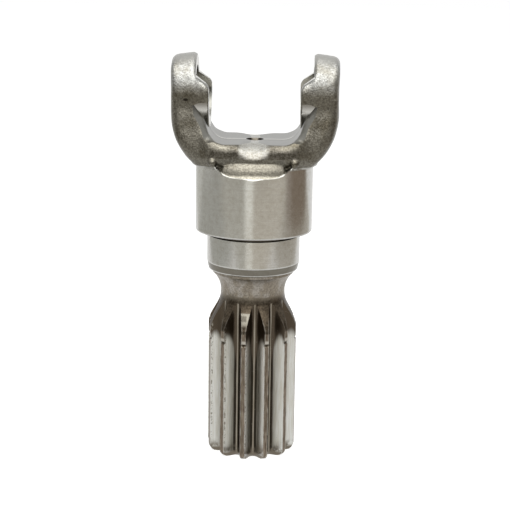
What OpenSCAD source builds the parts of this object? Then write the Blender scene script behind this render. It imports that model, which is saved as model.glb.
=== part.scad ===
// Forged yoke: one forged and machined steel piece, in millimetres, +Z up.
// The origin is the middle of the flat end face of the spline, on which the part stands.
// +X runs along the cross bore, so the two ears stand at -X and +X and the gap opens along Y.

/* [Spline] */
// Number of spline teeth round the shaft.
teeth = 12; // [10:1:12]
// Diameter over the tips of the spline teeth.
spline_tip_d = 41; // [40:0.2:42]
// Diameter at the bottom of the gaps between the teeth.
spline_root_d = 30; // [29.6:0.1:30.6]
// Radius of the rounded bottom of each gap.
gap_round_r = 2.4; // [2.2:0.1:2.6]
// Turn of the teeth about the shaft's axis, counted from a gap that faces -Y.
spline_turn = 5.5; // [0:0.5:15]
// Length of the spline from the end face to where the tips start to run out.
spline_length = 61; // [54:1:68]
// Distance of the narrow groove across the tooth tips below the end of the tips.
tip_groove_drop = 6; // [3:1:12]
// Depth of the narrow groove across the tooth tips.
tip_groove_depth = 0.8; // [0.4:0.1:1.2]

/* [Turned shaft] */
// Diameter of the waist between the spline and the small journal.
neck_d = 29.3; // [28.6:0.1:29.5]
// Length from the end of the tooth tips to the lower face of the small journal.
neck_length = 26; // [25.4:0.1:27]
// Radius of the round waist groove.
neck_round_r = 12.45; // [12.2:0.05:12.8]
// Diameter of the small ground journal.
small_d = 42.3; // [41.8:0.1:44]
// Length of the small journal up to the shoulder of the large one.
small_length = 18; // [16:0.5:22]
// Height of the tapered lead-in band at the foot of the small journal.
lead_length = 3.8; // [2:0.2:5]
// Height of the grinding relief under the shoulder.
relief_height = 2; // [1:0.2:3]
// Depth of the grinding relief under the shoulder.
relief_depth = 0.8; // [0.4:0.1:1.2]
// Diameter of the large turned journal under the fork.
large_d = 53; // [51.5:0.1:53.4]
// Length of the large journal up to the seam of the forging.
large_length = 30.7; // [27:0.1:34]

/* [Fork] */
// Height of the cross bore's axis above the seam of the forging.
bore_rise = 32; // [31.5:0.1:33]
// Diameter of the cross bore in the two ears.
bore_d = 22.9; // [20:0.1:24]
// Diameter of the round eye at the inner side of an ear.
eye_d = 34; // [33.4:0.1:35]
// Distance over the outer faces of the two ears.
span_out = 74.8; // [74.2:0.2:77]
// Distance between the inner faces of the two bosses.
span_in = 40.4; // [39:0.2:42]
// Distance between the two thinner lugs above the slanted reliefs.
lug_gap = 52; // [51:0.2:53.2]
// Angle of the slanted relief in each boss against the level.
relief_angle = 34.6; // [30:0.2:38]
// Height of the relief above the bore's axis at the boss face.
relief_rise = 3.6; // [2:0.2:5]
// Height of the machined floor above the seam of the forging.
floor_rise = 10.6; // [10:0.1:11]
// Radius between the floor and the inner side of each arm.
floor_round_r = 8.5; // [7.5:0.1:9.5]
// Lean of the inner side of each arm against the upright.
arm_lean = 18; // [14:0.5:21]
// Radius of the outer curve of each arm.
arm_round_r = 30; // [29:0.5:31]
// Width of the machined floor from front to back.
hub_width = 44; // [43.4:0.1:45]
// Distance from the middle to where the floor starts to round off, front and back.
floor_half = 17.2; // [16.4:0.1:18]
// Radius of the hollow between the arms in the middle of the floor, seen from the front.
scoop_r = 9.2; // [8:0.1:10]
// Radius over which that hollow rounds down to the front and the back.
crown_r = 18.5; // [16:0.5:22]
// Distance from the middle to where it starts to round down.
crown_start = 9; // [8:0.2:10]
// Diameter of the centre hole's mouth in the floor and in the end face.
centre_d = 7.6; // [6:0.2:9]

/* [Pads] */
// Half the length of each pad under the floor, measured along X.
pad_half = 13.8; // [12:0.2:14.4]
// Height of each pad's top above the seam of the forging.
pad_rise = 3.1; // [2.6:0.1:3.6]
// Depth of the cut behind each pad's lower rim.
pad_cut = 1.2; // [0.8:0.1:1.6]

/* [Hidden] */
$fn = 96;
tip_r = spline_tip_d / 2;
root_r = spline_root_d / 2;
tip_groove_z = spline_length - tip_groove_drop;
neck_r = neck_d / 2;
small_r = small_d / 2;
large_r = large_d / 2;
eye_r = eye_d / 2;
bore_r = bore_d / 2;
waist_z = spline_length + 15.4;
small_z = spline_length + neck_length;
large_z = small_z + small_length;
seam_z = large_z + large_length;
bore_z = seam_z + bore_rise;
floor_z = seam_z + floor_rise;
top_z = bore_z + eye_r;
x_out = span_out / 2;
x_in = span_in / 2;
x_lug = lug_gap / 2;
flank = 30;
gap_c = root_r + gap_round_r;
gap_tx = gap_round_r * cos(flank);
gap_ty = gap_c - gap_round_r * sin(flank);
gap_far = tip_r + 3;
wide = span_out + 40;
grey = [0.62, 0.61, 0.58];

// The outline of one tooth gap, rounded at its bottom, opening outwards at the flank angle.
module gap_shape() {
    translate([0, gap_c]) circle(r = gap_round_r);
    polygon([[-gap_tx, gap_ty], [gap_tx, gap_ty],
        [gap_tx + (gap_far - gap_ty) * tan(flank), gap_far],
        [-gap_tx - (gap_far - gap_ty) * tan(flank), gap_far]]);
}

// The turned outline of the spline: rounded foot, tips and the cone on which the teeth run out.
module spline_envelope() {
    rotate_extrude()
        polygon([[0, 0], [tip_r - 3.4, 0], [tip_r - 1.5, 0.9], [tip_r - 0.4, 2.4], [tip_r, 4.2],
            [tip_r, tip_groove_z - 0.45], [tip_r - tip_groove_depth, tip_groove_z - 0.3],
            [tip_r - tip_groove_depth, tip_groove_z + 0.3], [tip_r, tip_groove_z + 0.45],
            [tip_r, spline_length - 0.4], [tip_r - 0.3, spline_length + 1.6],
            [tip_r - 0.9, spline_length + 3.3], [tip_r - 6.9, spline_length + 14.3],
            [0, spline_length + 14.3]]);
}

// The broken edge at the foot of each gap.
module gap_feet() {
    for (i = [0 : teeth - 1])
        rotate([0, 0, spline_turn + i * 360 / teeth])
            rotate([90, 0, 90])
                translate([0, 0, -0.85 * gap_round_r])
                    linear_extrude(1.7 * gap_round_r)
                        polygon([[root_r - 1.4, -1], [root_r - 1.4, 0], [root_r + 0.3, 1.5],
                            [root_r + 2.4, 1.5], [root_r + 2.4, -1]]);
}

// The twelve teeth, cut from a round bar and trimmed to the turned outline.
module spline() {
    difference() {
        toothed_bar();
        gap_feet();
    }
}

// The bar with its gaps, inside the turned outline.
module toothed_bar() {
    intersection() {
        linear_extrude(spline_length + 20)
            difference() {
                circle(r = tip_r + 1);
                for (i = [0 : teeth - 1]) rotate([0, 0, spline_turn + i * 360 / teeth]) gap_shape();
            }
        spline_envelope();
    }
}

// The waist, both journals and the core that runs up into the fork, turned in one piece.
module shaft() {
    rotate_extrude()
        difference() {
            polygon([[0, spline_length - 8], [root_r - 1.2, spline_length - 8],
                [root_r - 1.2, waist_z - 2], [neck_r + 3.5, waist_z - 2],
                [neck_r + 3.5, small_z], [small_r - 1.05, small_z], [small_r - 0.75, small_z + 0.3],
                [small_r, small_z + lead_length], [small_r, large_z - relief_height],
                [small_r - relief_depth, large_z - relief_height + 0.3],
                [small_r - relief_depth, large_z], [large_r - 0.6, large_z], [large_r, large_z + 0.6],
                [large_r, seam_z + 3], [0, seam_z + 3]]);
            translate([neck_r + neck_round_r, waist_z]) circle(r = neck_round_r);
        }
}

// The front outline of the fork: flat outer sides that curve in to the hub, straight from front to back.
module fork_front() {
    rise = bore_rise - 8.7;
    rotate([90, 0, 0])
        translate([0, 0, -wide / 2])
            linear_extrude(wide) {
                intersection() {
                    union() {
                        for (s = [-1, 1])
                            translate([s * (x_out - arm_round_r), bore_z - 8.7])
                                circle(r = arm_round_r, $fn = 144);
                        translate([arm_round_r - x_out, seam_z - 1])
                            square([2 * (x_out - arm_round_r), bore_rise]);
                    }
                    translate([-x_out - 1, seam_z - 0.4]) square([2 * x_out + 2, rise + 0.4]);
                }
                translate([-x_out, bore_z - 8.8]) square([2 * x_out, 8.8]);
            }
}

// The round that takes off the corners of the arms, turned about the shaft's axis.
module fork_round() {
    r = arm_round_r - 2.8;
    rotate_extrude() {
        intersection() {
            translate([x_out + 2 - r, bore_z - 11.2]) circle(r = r);
            translate([0, seam_z - 0.8]) square([x_out + 3, bore_rise - 11.2 + 0.8]);
        }
        translate([0, bore_z - 11.3]) square([x_out + 2, 12]);
    }
}

// The low collar of the forging at which the turned skin of the large journal ends.
module seam_collar() {
    translate([0, 0, seam_z - 0.4]) cylinder(r = large_r + 0.5, h = 1.4);
}

// The side outline of the fork, which narrows from the hub up to the eyes.
module fork_side() {
    h = hub_width / 2;
    rotate([90, 0, 90])
        translate([0, 0, -wide / 2])
            linear_extrude(wide)
                polygon([[-h - 2.6, seam_z - 3], [h + 2.6, seam_z - 3], [h + 2.6, seam_z + 1.6],
                    [h + 0.8, seam_z + 4.4], [h, seam_z + 7.8], [h - 1.8, floor_z + 2.4],
                    [h - 3.4, floor_z + 7], [eye_r + 0.2, bore_z - 8.7], [eye_r - 1.4, bore_z - 1.7],
                    [eye_r - 1.4, bore_z], [1.4 - eye_r, bore_z], [1.4 - eye_r, bore_z - 1.7],
                    [-eye_r - 0.2, bore_z - 8.7], [3.4 - h, floor_z + 7], [1.8 - h, floor_z + 2.4],
                    [-h, seam_z + 7.8], [-h - 0.8, seam_z + 4.4], [-h - 2.6, seam_z + 1.6]]);
}

// The outline of the gap between the arms: level floor, two round corners and leaning sides.
module gap_outline(grow = 0) {
    r = floor_round_r + grow;
    cx = 12.5;
    cz = floor_z + floor_round_r;
    tx = cx + r * cos(arm_lean);
    tz = cz - r * sin(arm_lean);
    up = top_z + 10 - tz;
    for (s = [-1, 1]) translate([s * cx, cz]) circle(r = r);
    polygon([[-cx, floor_z - grow], [cx, floor_z - grow], [cx, cz], [tx, tz],
        [tx + up * tan(arm_lean), tz + up], [-tx - up * tan(arm_lean), tz + up],
        [-tx, tz], [-cx, cz]]);
}

// The cut between the arms, straight through from front to back.
module gap_cut() {
    rotate([90, 0, 0]) translate([0, 0, -wide / 2]) linear_extrude(wide) gap_outline();
}

// The two slopes that break each long edge of the floor, front and back.
module floor_edges() {
    for (s = [0, 180])
        rotate([0, 0, s])
            rotate([90, 0, 90])
                translate([0, 0, -14])
                    linear_extrude(28)
                        polygon([[floor_half, floor_z + 2], [floor_half, floor_z],
                            [floor_half + 3, floor_z - 1.3], [floor_half + 5.4, floor_z - 4.6],
                            [floor_half + 12, floor_z - 18], [floor_half + 12, floor_z + 2]]);
}

// The forged saddle in the middle of the floor: hollow along X, and round down to front and back.
module scoops() {
    for (s = [0, 180])
        rotate([0, 0, s])
            translate([0, crown_start, floor_z + 0.15 - crown_r])
                rotate([0, -90, 0])
                    rotate_extrude(angle = 66) translate([crown_r + scoop_r, 0]) circle(r = scoop_r);
}

// One eye with its draft and rounded rim, lying along +X; its outer face is flat.
module eye() {
    translate([0, 0, bore_z]) rotate([90, 0, 90])
        rotate_extrude()
            polygon([[0, x_lug - 3], [eye_r - 0.6, x_lug - 3], [eye_r - 0.6, x_lug + 0.1],
                [eye_r, x_lug + 1.2], [eye_r - 0.25, x_lug + 3], [eye_r - 1, x_out - 4.4],
                [eye_r - 1.6, x_out - 2.7], [eye_r - 2.2, x_out - 1.8],
                [eye_r - 3.1, x_out - 0.9], [eye_r - 4.4, x_out], [0, x_out]]);
}

// One boss, which stands in from the arm round the bore, with its inner edge broken.
module boss() {
    translate([0, 0, bore_z]) rotate([90, 0, 90])
        rotate_extrude()
            polygon([[0, x_in], [eye_r - 1.4, x_in], [eye_r - 0.4, x_in + 1], [eye_r - 0.4, x_lug],
                [0, x_lug]]);
}

// The slanted relief with the flat lug face above it, on the +X side.
module ear_relief() {
    rise = (x_lug - x_in) * tan(relief_angle);
    rotate([90, 0, 0])
        translate([0, 0, -wide / 2])
            linear_extrude(wide)
                polygon([[0, bore_z + relief_rise], [x_in, bore_z + relief_rise],
                    [x_lug, bore_z + relief_rise + rise], [x_lug, top_z - 1.6],
                    [x_lug + 3, top_z + 1.4], [x_lug + 3, top_z + 10], [0, top_z + 10]]);
}

// The area in front view within which the turned skin stops around a pad.
module pad_area() {
    polygon([[-11.8, seam_z - 3.4], [11.8, seam_z - 3.4], [14, seam_z - 2.2], [15.7, seam_z - 0.3],
        [17.2, seam_z + 1.8], [18, seam_z + 4], [-18, seam_z + 4], [-17.2, seam_z + 1.8],
        [-15.7, seam_z - 0.3], [-14, seam_z - 2.2]]);
}

// The shallow pocket round each pad, front and back.
module pad_pockets() {
    intersection() {
        rotate([90, 0, 0]) translate([0, 0, -wide / 2]) linear_extrude(wide) pad_area();
        difference() {
            translate([0, 0, seam_z - 6]) cylinder(r = large_r + 6, h = 16);
            translate([0, 0, seam_z - 7]) cylinder(r = large_r - 2.6, h = 18);
            translate([-40, -12, seam_z - 7]) cube([80, 24, 18]);
        }
    }
}

// The two pads, front and back, each with a rounded upper edge.
module pads() {
    pr = large_r - pad_cut;
    for (s = [0, 180])
        rotate([0, 0, s])
            intersection() {
                rotate_extrude()
                    difference() {
                        translate([pr - 6, seam_z - 8]) square([6, pad_rise + 8]);
                        translate([pr - 2.4, seam_z + pad_rise - 2.4])
                            difference() {
                                square(5);
                                circle(r = 2.4);
                            }
                    }
                translate([-pad_half, -large_r - 2, seam_z - 10]) cube([2 * pad_half, large_r, 20]);
            }
}

// The narrow slope at the foot of each pad pocket.
module pad_rims() {
    intersection() {
        rotate_extrude()
            polygon([[large_r - pad_cut, seam_z - 1], [large_r - pad_cut, seam_z - 3.4],
                [large_r + 0.1, seam_z - 4.4], [large_r + 2, seam_z - 4.4], [large_r + 2, seam_z - 1]]);
        rotate([90, 0, 0])
            translate([0, 0, -wide / 2])
                linear_extrude(wide)
                    polygon([[-11.4, seam_z - 5], [11.4, seam_z - 5], [13.6, seam_z - 2.6],
                        [13.6, seam_z], [-13.6, seam_z], [-13.6, seam_z - 2.6]]);
    }
}

// The centre hole that a lathe centre leaves: a 60 degree mouth and a short pilot.
module centre_hole() {
    translate([0, 0, -0.01])
        rotate_extrude()
            polygon([[0, 0], [centre_d / 2, 0], [1.6, (centre_d / 2 - 1.6) * tan(60)],
                [1.6, (centre_d / 2 - 1.6) * tan(60) + 3], [0, (centre_d / 2 - 1.6) * tan(60) + 4]]);
}

// The cross bore through both ears, with a small chamfer at every mouth.
module cross_bore() {
    translate([0, 0, bore_z]) rotate([0, 90, 0]) {
        translate([0, 0, -wide / 2]) cylinder(r = bore_r, h = wide);
        for (s = [0, 180])
            rotate([s, 0, 0]) {
                translate([0, 0, x_out - 0.6]) cylinder(r1 = bore_r - 0.1, r2 = bore_r + 0.9, h = 1);
                translate([0, 0, x_in - 0.4]) cylinder(r1 = bore_r + 0.8, r2 = bore_r - 0.2, h = 1);
            }
    }
}

// The whole yoke.
module forged_yoke() {
    color(grey)
        difference() {
            union() {
                spline();
                difference() {
                    union() {
                        shaft();
                        intersection() {
                            fork_front();
                            fork_round();
                            fork_side();
                        }
                        seam_collar();
                    }
                    gap_cut();
                    floor_edges();
                    scoops();
                    pad_pockets();
                }
                for (s = [0, 180]) rotate([0, 0, s]) {
                    eye();
                    boss();
                }
                pads();
            }
            for (s = [0, 180]) rotate([0, 0, s]) ear_relief();
            cross_bore();
            pad_rims();
            centre_hole();
            translate([0, 0, floor_z]) rotate([180, 0, 0]) centre_hole();
        }
}

forged_yoke();
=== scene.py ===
# %% [markdown]
# # A forged and machined yoke
# A universal joint yoke starts as a hot forging with a soft, sand-like skin. A lathe turns its
# shaft, a hob cuts the twelve teeth, and a mill and a boring bar finish the fork.
# One smooth solid could be modelled and its faces coloured by hand. This scene follows the
# workshop's order instead, a blended blank first and then one cutting tool after another,
# so each edge between raw and machined steel falls where the real tools leave it.

# %% Load the measured model
import math

import bmesh
import bpy
import numpy as np
from mathutils import Matrix, Vector


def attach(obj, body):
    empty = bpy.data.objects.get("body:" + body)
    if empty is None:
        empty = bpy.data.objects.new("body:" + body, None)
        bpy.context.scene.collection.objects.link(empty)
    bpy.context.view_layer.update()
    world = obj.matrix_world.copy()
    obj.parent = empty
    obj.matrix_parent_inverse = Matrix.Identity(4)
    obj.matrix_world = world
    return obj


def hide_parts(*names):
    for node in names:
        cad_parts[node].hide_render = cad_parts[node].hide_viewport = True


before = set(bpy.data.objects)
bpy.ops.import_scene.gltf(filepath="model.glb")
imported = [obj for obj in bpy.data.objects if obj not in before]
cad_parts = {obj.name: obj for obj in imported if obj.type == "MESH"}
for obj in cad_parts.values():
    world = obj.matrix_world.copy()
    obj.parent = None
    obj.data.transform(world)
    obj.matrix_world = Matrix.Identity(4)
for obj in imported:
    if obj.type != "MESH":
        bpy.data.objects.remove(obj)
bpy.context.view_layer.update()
MM = 0.001

# %% [markdown]
# ## Sizes from the drawing
# These lengths repeat named values of the CAD source, in millimetres. Heights count from the
# flat end of the spline, on which the part stands. X runs along the cross bore, and the camera
# looks from the side of -Y.

# %% Sizes of the shaft
TEETH = 12
TOOTH_TURN = math.radians(5.5)                  # turns the first gap away from the front
TIP_R, ROOT_R, GAP_ROUND = 20.5, 15.0, 2.4      # tips, gap bottoms and the gaps' rounding
NECK_R, NECK_ROUND, WAIST_Z = 14.65, 12.45, 76.4
SMALL_R, SMALL_Z = 21.15, 87.0                  # small journal: radius and lower end
LARGE_R, LARGE_Z = 26.5, 105.0                  # large journal: radius and lower end
SEAM_Z = 135.7                                  # where the lathe stops under the fork
print("teeth:", TEETH, " journals:", 2 * SMALL_R, "and", 2 * LARGE_R, "mm")

# %% Sizes of the fork
FLOOR_Z, BORE_Z, TOP_Z = 146.3, 167.7, 184.7
BORE_R, EYE_R = 11.45, 17.0
FACE_OUT, FACE_BOSS, FACE_LUG = 37.4, 20.2, 26.0            # distance of each face from the middle
CORNER_X, CORNER_R, LEAN = 12.5, 8.5, math.radians(18)      # the gap's corners and leaning sides
ARM_ROUND = 30.0                                            # curve of the arms seen from the front
print("height over the eyes:", TOP_Z, "mm, bore:", 2 * BORE_R, "mm")

# %% [markdown]
# ## Camera
# The place, lens and small roll were fitted to the turned edges of the shaft,
# whose diameters and heights are known, so the view matches the picture's perspective.

# %% Camera
PICTURE_PX, FOCAL_PX, SENSOR_MM = 510, 1398.6, 36
AIM = Vector((0.0, 0.0, 92.39)) * MM
DISTANCE, RISE, YAW, ROLL = 641.8, 0.22788, 0.02251, 0.01447    # millimetres and radians
scene = bpy.context.scene
camera = bpy.data.objects.new("camera", bpy.data.cameras.new("camera"))
scene.collection.objects.link(camera)
away = Vector((math.cos(RISE) * math.sin(YAW), -math.cos(RISE) * math.cos(YAW), math.sin(RISE)))
camera.location = AIM + away * DISTANCE * MM
turn = away.to_track_quat("Z", "Y").to_matrix().to_4x4() @ Matrix.Rotation(ROLL, 4, "Z")
camera.rotation_euler = turn.to_euler()
camera.data.sensor_width = SENSOR_MM
camera.data.lens = SENSOR_MM * FOCAL_PX / PICTURE_PX
camera.data.shift_x = 1.77 / PICTURE_PX
camera.data.shift_y = 0.5 / PICTURE_PX
camera.data.clip_start = 0.01
scene.camera = camera
scene.view_settings.view_transform = "Standard"
print("lens", round(camera.data.lens, 1), "mm at", [round(v, 3) for v in camera.location])

# %% [markdown]
# ## Finishes
# Every finish is steel, so each one is a metal whose colour is its reflectance. What differs
# is how the surface was made: peened by shot, turned, milled or hobbed, and how much oil film
# lies on it. A picture of steel could be wrapped round the part, but it would show seams.
# Here each colour is worked out from the place on the part instead, in real millimetres.

# %% Colours and nodes
def linear(code):
    """Turns an sRGB hex colour into the linear values that the shaders take."""
    parts = [int(code[i:i + 2], 16) / 255 for i in (1, 3, 5)]
    return [p / 12.92 if p <= 0.04045 else ((p + 0.055) / 1.055) ** 2.4 for p in parts] + [1.0]


def node(tree, kind, inputs=None, stops=(), **settings):
    """Adds one node with its settings and links, and gives its outputs."""
    made = tree.nodes.new("ShaderNode" + kind)
    for key, value in settings.items():
        setattr(made, key, value)
    for key, value in (inputs or {}).items():
        if isinstance(value, bpy.types.NodeSocket):
            tree.links.new(value, made.inputs[key])
        else:
            made.inputs[key].default_value = linear(value) if isinstance(value, str) else value
    for count, (spot, code) in enumerate(stops):
        if count >= 2:
            made.color_ramp.elements.new(1.0)
        made.color_ramp.elements[count].position = spot
        made.color_ramp.elements[count].color = linear(code)
    return made.outputs


print("the grey #808080 reflects", round(linear("#808080")[0], 3), "of the light")

# %% Start and end of a finish
def steel(name, colour, roughness):
    """Starts a steel finish and returns its material, node tree and shader."""
    material = bpy.data.materials.new(name)
    material.use_nodes = True
    shader = material.node_tree.nodes["Principled BSDF"]
    shader.inputs["Metallic"].default_value = 1.0
    shader.inputs["Base Color"].default_value = linear(colour)
    shader.inputs["Roughness"].default_value = roughness
    return material, material.node_tree, shader


def dress(tree, shader, colour, height, strength, depth):
    """Ends a finish: joins its colour, and relief of some depth in millimetres, to the shader."""
    relief = node(tree, "Bump", {"Height": height, "Strength": strength, "Distance": depth * MM})
    tree.links.new(relief["Normal"], shader.inputs["Normal"])
    tree.links.new(colour, shader.inputs["Base Color"])


print("steel() starts a finish, and dress() ends it")

# %% Places, masks and coats
def place(tree):
    """Gives the point on the part in millimetres, and its x, y and z."""
    metres = node(tree, "TexCoord")["Object"]
    spot = node(tree, "VectorMath", {0: metres, "Scale": 1 / MM}, operation="SCALE")[0]
    return spot, *node(tree, "SeparateXYZ", {0: spot})


def zone(tree, *limits):
    """Makes a mask from (value, start, end): each rises softly from 0 at start to 1 at end."""
    mask = None
    for value, start, end in limits:
        step = node(tree, "MapRange", {"Value": value, "From Min": start, "From Max": end},
                    interpolation_type="SMOOTHSTEP")[0]
        mask = node(tree, "Math", {0: mask, 1: step}, operation="MULTIPLY")[0] if mask else step
    return mask


def coats(tree, colour, *layers):
    """Lays (mask, colour) or (mask, colour, blend) over a colour, one after another."""
    for mask, over, *blend in layers:
        colour = node(tree, "Mix", {0: mask, 6: colour, 7: over}, data_type="RGBA",
                      blend_type=blend[0] if blend else "MIX")[2]
    return colour


def from_axis(tree, x, y):
    """Gives the distance from the shaft's axis."""
    square = node(tree, "Math", {0: y, 1: y}, operation="MULTIPLY")[0]
    both = node(tree, "Math", {0: x, 1: x, 2: square}, operation="MULTIPLY_ADD")[0]
    return node(tree, "Math", {0: both}, operation="SQRT")[0]


print("zone() masks a place, and coats() paints it")

# %% [markdown]
# ### Shot-blasted forging skin
# Steel that was forged hot and cleaned with shot has a fine peened grain, warm grey, with
# patches of darker scale. Displacing the mesh that finely would take millions of faces, so the
# grain is relief in the finish, in lumps of 0.8 mm. The tops of the eyes are painted lighter and
# the skin below them darker, painted light and shade. The saddle between the arms is a painted
# highlight with painted shade beside it, and a painted highlight draws a thin bright line where
# the lathe broke into the skin.

# %% Skin: grain and main tones
GRAIN, SCALE_PATCH = 0.8, 9.0       # size of the lumps in millimetres
forged, tree, shader = steel("shot blasted forging", "#86827A", 0.33)
spot, x, y, z = place(tree)
across = node(tree, "Math", {0: x}, operation="ABSOLUTE")[0]
reach = from_axis(tree, x, y)
grain = node(tree, "TexNoise", {"Vector": spot, "Scale": 1 / GRAIN, "Detail": 3.0,
                                "Roughness": 0.7})[0]
scale = node(tree, "TexNoise", {"Vector": spot, "Scale": 1 / SCALE_PATCH, "Detail": 3.0,
                                "Roughness": 0.6})[0]
peened = zone(tree, (grain, 0.3, 0.7))
dented = zone(tree, (grain, 0.35, 0.65))
tone = coats(tree, "#6D6C68", (peened, "#9A9A96"),
             (zone(tree, (scale, 0.55, 0.3)), "#D8D4CB", "MULTIPLY"),
             # The eyes' tops are painted lighter and the skin below them darker, painted light and
             # shade.
             (zone(tree, (z, 179.5, 183.5)), "#A09F9A"),
             (zone(tree, (z, 174.0, 167.0)), "#D4CEC2", "MULTIPLY"))
print("grain", GRAIN, "mm, patches of scale", SCALE_PATCH, "mm")

# %% Skin: painted highlight on the saddle, painted shade beside it
# The saddle is painted pale, a painted highlight that grows lighter upwards.
saddle = zone(tree, (across, 7.4, 5.0), (z, 139.9, 141.2))
saddle_highlight_tone = coats(tree, "#82807A", (zone(tree, (z, 141.5, 145.0)), "#B3B2AC"),
                    (zone(tree, (grain, 0.6, 0.3)), "#C8C3B9", "MULTIPLY"))
# Painted shade darkens the skin on each side of the saddle.
beside_shade = zone(tree, (across, 4.8, 7.2), (across, 13.5, 9.5), (z, 139.5, 143.5))
beside_shade_tone = coats(tree, "#3E3A32", (dented, "#6A665D"))
# Painted shade darkens the skin under the floor's front and back edges, beside the saddle.
valley_shade = zone(tree, (across, 8.0, 10.0), (across, 21.0, 18.5), (z, 145.0, 143.9), (z, 140.0, 141.0))
valley_shade_tone = coats(tree, "#47433B", (dented, "#6E6A61"))
print("the saddle is pale up to 7.4 mm from the middle")

# %% Skin: painted shade of the small dent on the left arm
from_dent = node(tree, "VectorMath", {0: spot, 1: (-30.1, 0.0, 165.4)}, operation="SUBTRACT")[0]
from_dent = node(tree, "VectorMath", {0: from_dent, 1: (0.55, 0.0, 1.0)}, operation="MULTIPLY")[0]
from_dent = node(tree, "VectorMath", {0: from_dent}, operation="LENGTH")["Value"]
# The dent is not shaped in the mesh; its shade is painted as a dark oval.
dent = zone(tree, (from_dent, 0.75, 0.45), (y, -10.0, -12.0))
print("the dent is an oval about 2.2 mm wide and 1.2 mm high")

# %% Skin: the bar's lower face and the painted highlight round it
bar_face = zone(tree, (z, 136.6, 135.8), (across, 14.2, 13.0))
bar_tone = coats(tree, "#6A665C", (peened, "#908C80"))
# A painted highlight draws a thin bright line along the rim where the lathe broke into the skin.
rim = zone(tree, (reach, 25.95, 26.15), (z, 137.2, 136.9))
outside = zone(tree, (across, 17.2, 17.5), (z, 136.45, 136.65))
inside = node(tree, "Math", {0: 1.0, 1: outside}, operation="SUBTRACT")[0]
bright = node(tree, "Math", {0: rim, 1: inside}, operation="MULTIPLY")[0]
tone = coats(tree, tone, (beside_shade, beside_shade_tone), (dent, "#2E2A24"), (bar_face, bar_tone),
             (bright, "#A5A49E"), (valley_shade, valley_shade_tone), (saddle, saddle_highlight_tone))
dress(tree, shader, tone, grain, 0.6, 0.3)
print("finish:", forged.name, "with", len(tree.nodes), "nodes")

# %% [markdown]
# ### Milled and bored steel
# An end mill cut the floor and sides of the gap. It leaves clean grey steel with faint feed
# marks about 0.8 mm apart, which are stretched noise here. Two passes met in the middle of the
# floor and left a faint ridge, drawn as a fine bright line of painted highlight. The bore's upper
# wall is painted paler, a painted highlight, and painted shade darkens the floor's front and
# back edges.

# %% Milled steel
FEED, SWIRL = 0.8, 1.5              # distance of the feed marks and size of the clouds, millimetres
milled, tree, shader = steel("milled steel", "#8F8E87", 0.3)
spot, x, y, z = place(tree)
deep = node(tree, "Math", {0: y}, operation="ABSOLUTE")[0]
clouds = node(tree, "TexNoise", {"Vector": spot, "Scale": 1 / SWIRL, "Detail": 4.0,
                                 "Roughness": 0.6})[0]
# Painted shade darkens the floor's rounded front and back edges.
floor_edge_shade = zone(tree, (deep, 18.2, 20.0), (z, 150.0, 148.0))
# The bore's upper wall is painted paler, a painted highlight.
bore_wall_highlight = zone(tree, (z, 167.5, 169.0), (z, 177.5, 175.0))
# A painted highlight draws the fine bright line on the ridge where two passes met.
ridge_highlight = zone(tree, (deep, 0.75, 0.35), (z, 149.0, 147.0))
tone = coats(tree, "#6C6B66", (clouds, "#83827C"), (floor_edge_shade, "#5E5B53"),
             (bore_wall_highlight, "#D6D4CC"), (ridge_highlight, "#DAD8D0"))
along = node(tree, "VectorMath", {0: spot, 1: (0.3, 1.0, 0.3)}, operation="MULTIPLY")[0]
feed = node(tree, "TexNoise", {"Vector": along, "Scale": 1 / FEED, "Detail": 2.0,
                               "Roughness": 0.5})[0]
dress(tree, shader, tone, feed, 0.2, 0.08)
print("finish:", milled.name, "with", len(tree.nodes), "nodes")

# %% [markdown]
# ### Faced steel and the centre hole in painted shade
# The bosses and lugs were faced by a finer tool and shine more than the floor. Above the bore
# and under each boss the steel is darkened by painted shade.
# The centre hole is painted nearly black, a painted shade, with a painted glint inside.

# %% Faced steel
CLOUD, FINE = 1.2, 0.6              # size of the clouds and of the fine tool marks, millimetres
faced, tree, shader = steel("faced steel", "#C4C2BB", 0.22)
spot, x, y, z = place(tree)
across = node(tree, "Math", {0: x}, operation="ABSOLUTE")[0]
clouds = node(tree, "TexNoise", {"Vector": spot, "Scale": 1 / CLOUD, "Detail": 4.0,
                                 "Roughness": 0.6})[0]
# Painted shade darkens the boss faces above the bore, and less so the steel under each boss.
upper_face_shade = zone(tree, (across, 20.6, 20.3), (z, 165.5, 168.0), (z, 172.5, 171.0))
under_boss_shade = zone(tree, (across, 20.3, 20.8), (z, 160.0, 164.0), (z, 166.5, 165.0))
tone = coats(tree, "#B6B4AD", (clouds, "#D2D0C9"), (upper_face_shade, "#5F5B53"),
             (under_boss_shade, "#817D75"))
fine = node(tree, "TexNoise", {"Vector": spot, "Scale": 1 / FINE, "Detail": 2.0,
                               "Roughness": 0.6})[0]
dress(tree, shader, tone, fine, 0.12, 0.05)
print("finish:", faced.name, "with", len(tree.nodes), "nodes")

# %% Centre hole in painted shade
# The hole is painted nearly black, a painted shade, with a painted glint near the middle.
shaded_hole, tree, shader = steel("centre hole in painted shade", "#211C16", 0.4)
spot, x = place(tree)[:2]
across = node(tree, "Math", {0: x}, operation="ABSOLUTE")[0]
glint_noise = node(tree, "TexNoise", {"Vector": spot, "Scale": 1.0, "Detail": 3.0, "Roughness": 0.6})[0]
painted_glint = node(tree, "Math", {0: zone(tree, (across, 2.0, 0.9)), 1: glint_noise}, operation="MULTIPLY")[0]
tree.links.new(coats(tree, "#1B1712", (painted_glint, "#7C766B")), shader.inputs["Base Color"])
print("finish:", shaded_hole.name, "with", len(tree.nodes), "nodes")

# %% [markdown]
# ### Turned steel
# The journals were turned and ground on centres. Their rings are too fine to show one by one,
# so they are drawn 0.35 mm apart, and the shader's anisotropy stretches highlights across them.
# The lead-in band at the foot is painted darker, a painted shade, between two fine edges that stay
# bright.

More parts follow.
